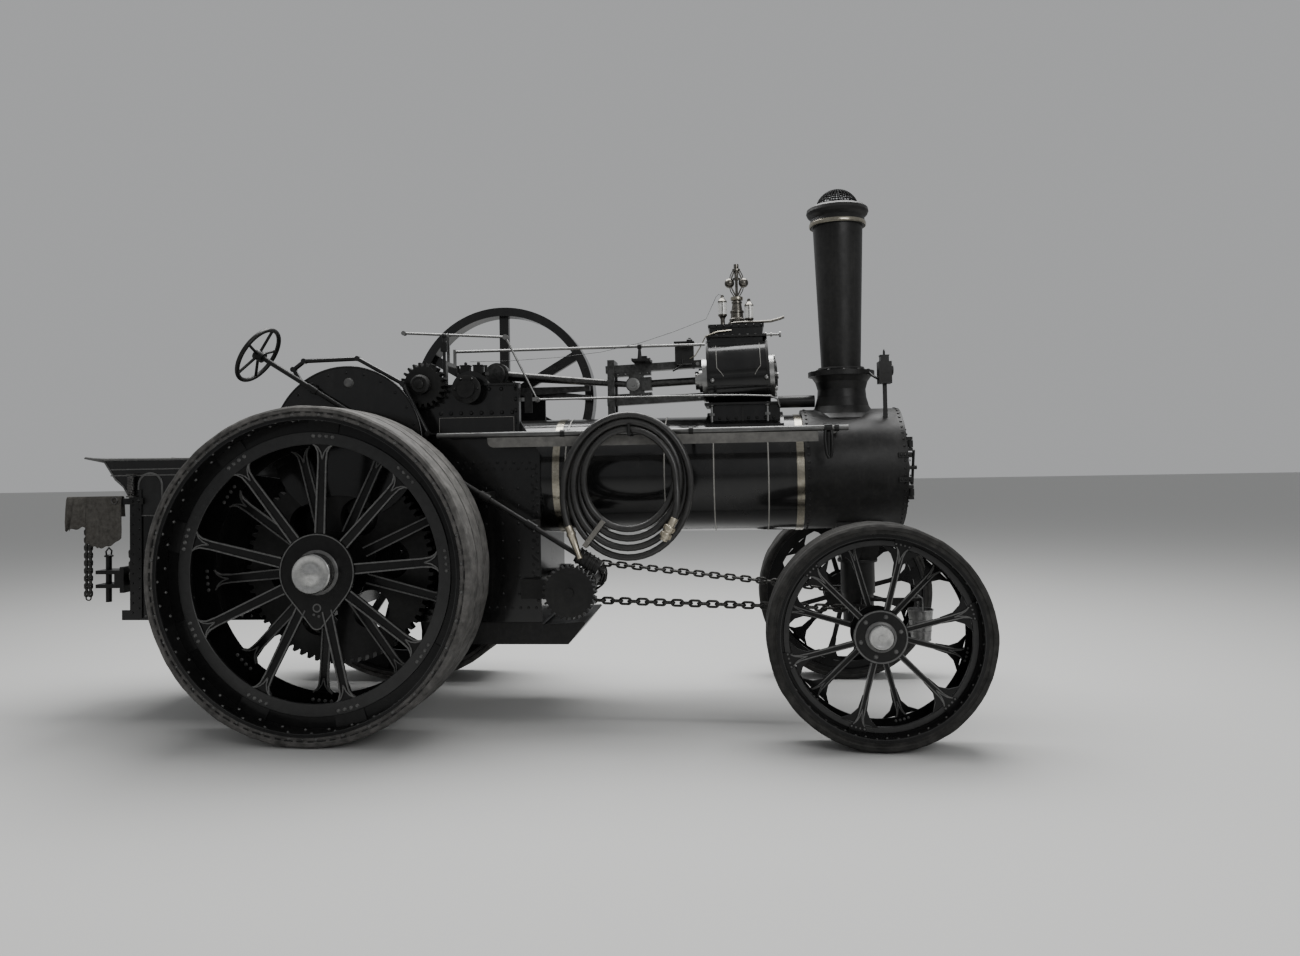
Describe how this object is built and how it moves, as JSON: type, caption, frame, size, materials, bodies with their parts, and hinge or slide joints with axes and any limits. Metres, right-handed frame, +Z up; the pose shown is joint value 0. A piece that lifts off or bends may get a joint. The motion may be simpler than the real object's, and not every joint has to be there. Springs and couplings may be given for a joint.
{
  "type": "steam traction engine",
  "caption": "General-purpose single-cylinder steam traction engine on rubber-tyred spoked wheels, with chain steering, flywheel, bunker and a coiled suction hose.",
  "frame": {"origin": "on the floor below the middle of the engine's box", "axes": "+X forward, +Y to the engine's left, +Z up"},
  "size_m": [5.935, 2.046, 3.42],
  "materials": {
    "boiler_black": "gloss paint",
    "smoke_black": "heat-proof satin paint",
    "brass": "polished",
    "bright_steel": "polished, oiled",
    "dark_iron": "painted",
    "chain_steel": "dull",
    "wheel_paint": "gloss paint",
    "rubber": "dusty",
    "plate_steel": "worn",
    "old_wood": "weathered",
    "pail_zinc": "dull zinc",
    "canvas": "rough",
    "hose": "dusty",
    "worn_brass": "dull"
  },
  "bodies": {
    "engine": {"boiler_barrel": "boiler_black", "boiler_bands": "brass", "firebox": "boiler_black", "ashpan": "smoke_black", "smokebox": "smoke_black", "chimney_base": "smoke_black", "chimney_barrel": "smoke_black", "chimney_cap": "brass", "spark_arrestor": "dark_iron", "lamp": "smoke_black", "cylinder_block": "boiler_black", "cylinder_covers": "bright_steel", "safety_valves": "brass", "lubricators": "brass", "exhaust_pipe": "smoke_black", "slide_bars": "bright_steel", "crosshead": "bright_steel", "connecting_rod": "bright_steel", "valve_gear": "bright_steel", "crankshaft": "bright_steel", "crank_bearings": "dark_iron", "hornplate_right": "boiler_black", "hornplate_left": "boiler_black", "second_shaft": "bright_steel", "third_shaft": "bright_steel", "final_gear": "bright_steel", "rear_axle": "bright_steel", "gear_guard": "boiler_black", "handrail": "bright_steel", "tender": "boiler_black", "footplate": "plate_steel", "drawbar": "dark_iron", "tender_arm": "dark_iron", "canvas_flaps": "canvas", "column_brackets": "dark_iron", "barrel_bearings": "dark_iron", "steering_chains": "chain_steel", "perch_bracket": "smoke_black", "side_rail": "dark_iron", "side_board": "old_wood", "control_rods": "bright_steel", "hose_coil": "hose", "hose_coupling": "worn_brass", "hose_hook": "dark_iron"},
    "front_axle": {"front_axle": "smoke_black", "pail": "pail_zinc", "chain_ends": "chain_steel"},
    "front_wheel_right": {"front_wheel_right": "wheel_paint", "front_tyre_right": "rubber"},
    "front_wheel_left": {"front_wheel_left": "wheel_paint", "front_tyre_left": "rubber"},
    "rear_wheel_right": {"rear_wheel_right": "wheel_paint", "rear_tyre_right": "rubber"},
    "rear_wheel_left": {"rear_wheel_left": "wheel_paint", "rear_tyre_left": "rubber"},
    "flywheel": {"flywheel": "boiler_black"},
    "smokebox_door": {"smokebox_door": "smoke_black"},
    "fire_door": {"fire_door": "smoke_black"},
    "steering_wheel": {"steering_wheel": "dark_iron"},
    "chain_barrel": {"chain_barrel": "dark_iron"}
  },
  "joints": [
    {"name": "steer", "type": "hinge", "parent": "engine", "child": "front_axle", "pos_m": [2.3345, 0, 0.633], "axis": [0, 0, 1], "range_deg": [-20, 20]},
    {"name": "front_wheel_right_spin", "type": "hinge", "parent": "front_axle", "child": "front_wheel_right", "pos_m": [2.3345, -0.855, 0.633], "axis": [0, 1, 0], "continuous": true},
    {"name": "front_wheel_left_spin", "type": "hinge", "parent": "front_axle", "child": "front_wheel_left", "pos_m": [2.3345, 0.855, 0.633], "axis": [0, 1, 0], "continuous": true},
    {"name": "rear_wheel_right_spin", "type": "hinge", "parent": "engine", "child": "rear_wheel_right", "pos_m": [-0.9675, -0.81, 1], "axis": [0, 1, 0], "continuous": true},
    {"name": "rear_wheel_left_spin", "type": "hinge", "parent": "engine", "child": "rear_wheel_left", "pos_m": [-0.9675, 0.81, 1], "axis": [0, 1, 0], "continuous": true},
    {"name": "flywheel_spin", "type": "hinge", "parent": "engine", "child": "flywheel", "pos_m": [-0.1445, 0.51, 2.111], "axis": [0, 1, 0], "continuous": true},
    {"name": "smokebox_door_hinge", "type": "hinge", "parent": "engine", "child": "smokebox_door", "pos_m": [2.631, -0.344, 1.56], "axis": [0, 0, -1], "range_deg": [0, 100]},
    {"name": "fire_door_hinge", "type": "hinge", "parent": "engine", "child": "fire_door", "pos_m": [-0.5475, -0.2, 1.33], "axis": [0, 0, 1], "range_deg": [0, 100]},
    {"name": "chain_barrel_turn", "type": "hinge", "parent": "engine", "child": "chain_barrel", "pos_m": [0.5195, 0, 0.837], "axis": [0, 1, 0], "range_deg": [-110.1, 110.1]},
    {"name": "steering_wheel_turn", "type": "hinge", "parent": "engine", "child": "steering_wheel", "pos_m": [0.6378, -0.573, 1.02485], "axis": [-0.8462, 0, 0.5329], "range_deg": [-3273, 3273]}
  ],
  "couplings": [
    {"joint": "chain_barrel_turn", "follows": "steer", "ratio": -5.3549},
    {"joint": "steering_wheel_turn", "follows": "steer", "ratio": 160.65}
  ]
}
